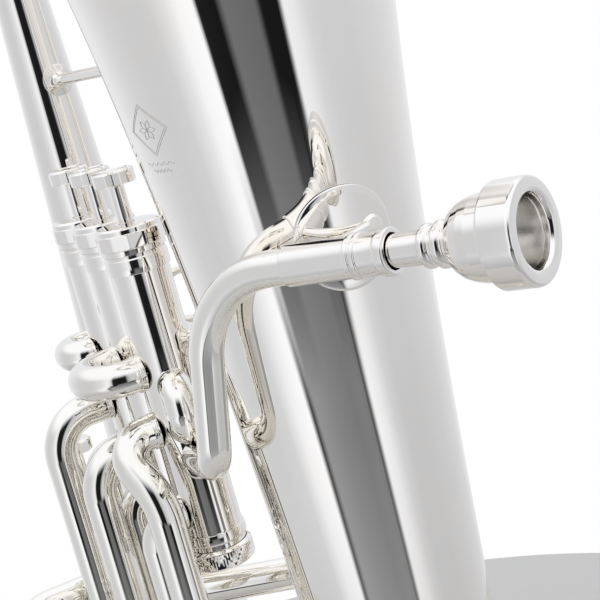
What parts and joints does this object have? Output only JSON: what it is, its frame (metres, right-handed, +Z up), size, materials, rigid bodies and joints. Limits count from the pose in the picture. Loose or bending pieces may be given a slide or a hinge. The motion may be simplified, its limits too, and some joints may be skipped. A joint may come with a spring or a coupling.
{
  "type": "euphonium",
  "caption": "Silver-plated compensating euphonium, bell up, with top-action piston valves, a side valve, tuning slides, an upright receiver and a mouthpiece.",
  "frame": {"origin": "lowest point of the bottom bow's guard, midway between the bell's axis and the large branch's axis", "axes": "+Z up along the bell's axis, +X from the bell towards the large branch, +Y towards the valves"},
  "size_m": [0.3901, 0.3058, 0.6699],
  "materials": {
    "silver": "polished silver plate",
    "nickel": "satin nickel alloy",
    "spring_steel": "drawn wire"
  },
  "bodies": {
    "instrument": {"compensating_bow_1": "silver", "bell": "silver", "bell_patch": "silver", "bottom_bow": "silver", "bow_guard": "silver", "large_branch": "silver", "top_bow": "silver", "small_branch": "silver", "leadpipe": "silver", "mouthpiece_receiver": "silver", "receiver_brace": "silver", "valve_1_2_crook": "silver", "knuckle_2_3": "silver", "compensating_bow_3": "silver", "valve_3_4_link": "silver", "crossover_tube": "silver", "bell_branch_brace": "silver", "valve_bell_brace": "silver", "valve_branch_brace": "silver", "thumb_ring": "silver", "valve_casing_1": "silver", "top_cap_1": "silver", "bottom_cap_1": "silver", "piston_spring_1": "spring_steel", "slide_sleeve_1_outer": "silver", "slide_sleeve_1_inner": "silver", "valve_casing_2": "silver", "top_cap_2": "silver", "bottom_cap_2": "silver", "piston_spring_2": "spring_steel", "slide_sleeve_2_outer": "silver", "slide_sleeve_2_inner": "silver", "valve_casing_3": "silver", "top_cap_3": "silver", "bottom_cap_3": "silver", "piston_spring_3": "spring_steel", "slide_sleeve_3_outer": "silver", "slide_sleeve_3_inner": "silver", "valve_casing_4": "silver", "top_cap_4": "silver", "bottom_cap_4": "silver", "piston_spring_4": "spring_steel", "slide_sleeve_4_outer": "silver", "slide_sleeve_4_inner": "silver"},
    "valve_1": {"piston_1": "nickel", "finger_button_1": "silver"},
    "valve_2": {"piston_2": "nickel", "finger_button_2": "silver"},
    "valve_3": {"piston_3": "nickel", "finger_button_3": "silver"},
    "valve_4": {"piston_4": "nickel", "finger_button_4": "silver"},
    "slide_1": {"valve_slide_1": "silver"},
    "slide_2": {"valve_slide_2": "silver"},
    "slide_3": {"valve_slide_3": "silver"},
    "slide_4": {"valve_slide_4": "silver"},
    "main_slide": {"main_tuning_slide": "silver", "water_key_saddle": "silver"},
    "key": {"water_key": "silver"},
    "mouthpiece": {"mouthpiece": "silver"}
  },
  "joints": [
    {"name": "press_valve_1", "type": "slide", "parent": "instrument", "child": "valve_1", "axis": [0, 0, -1], "range_m": [0, 0.0165], "stiffness_N_per_m": 150, "springref_m": -0.035, "deforming": ["piston_spring_1"]},
    {"name": "press_valve_2", "type": "slide", "parent": "instrument", "child": "valve_2", "axis": [0, 0, -1], "range_m": [0, 0.0165], "stiffness_N_per_m": 150, "springref_m": -0.035, "deforming": ["piston_spring_2"]},
    {"name": "press_valve_3", "type": "slide", "parent": "instrument", "child": "valve_3", "axis": [0, 0, -1], "range_m": [0, 0.0165], "stiffness_N_per_m": 150, "springref_m": -0.035, "deforming": ["piston_spring_3"]},
    {"name": "press_valve_4", "type": "slide", "parent": "instrument", "child": "valve_4", "axis": [0, 0, -1], "range_m": [0, 0.0165], "stiffness_N_per_m": 150, "springref_m": -0.035, "deforming": ["piston_spring_4"]},
    {"name": "pull_valve_slide_1", "type": "slide", "parent": "instrument", "child": "slide_1", "axis": [0, 0, -1], "range_m": [0, 0.038]},
    {"name": "pull_valve_slide_2", "type": "slide", "parent": "instrument", "child": "slide_2", "axis": [0, 0, -1], "range_m": [0, 0.028]},
    {"name": "pull_valve_slide_3", "type": "slide", "parent": "instrument", "child": "slide_3", "axis": [0, 0, -1], "range_m": [0, 0.038]},
    {"name": "pull_valve_slide_4", "type": "slide", "parent": "instrument", "child": "slide_4", "axis": [0, 0, -1], "range_m": [0, 0.038]},
    {"name": "pull_main_tuning_slide", "type": "slide", "parent": "instrument", "child": "main_slide", "axis": [0, 0, -1], "range_m": [0, 0.042]},
    {"name": "press_water_key", "type": "hinge", "parent": "main_slide", "child": "key", "pos_m": [0.03995, -0.057, 0.04979], "axis": [0, 0, 1], "range_deg": [0, 18], "stiffness_Nm_per_rad": 0.05, "springref_deg": -34.38},
    {"name": "pull_mouthpiece", "type": "slide", "parent": "instrument", "child": "mouthpiece", "axis": [-0.8552, -0.5181, 0.0155], "range_m": [0, 0.032]}
  ]
}
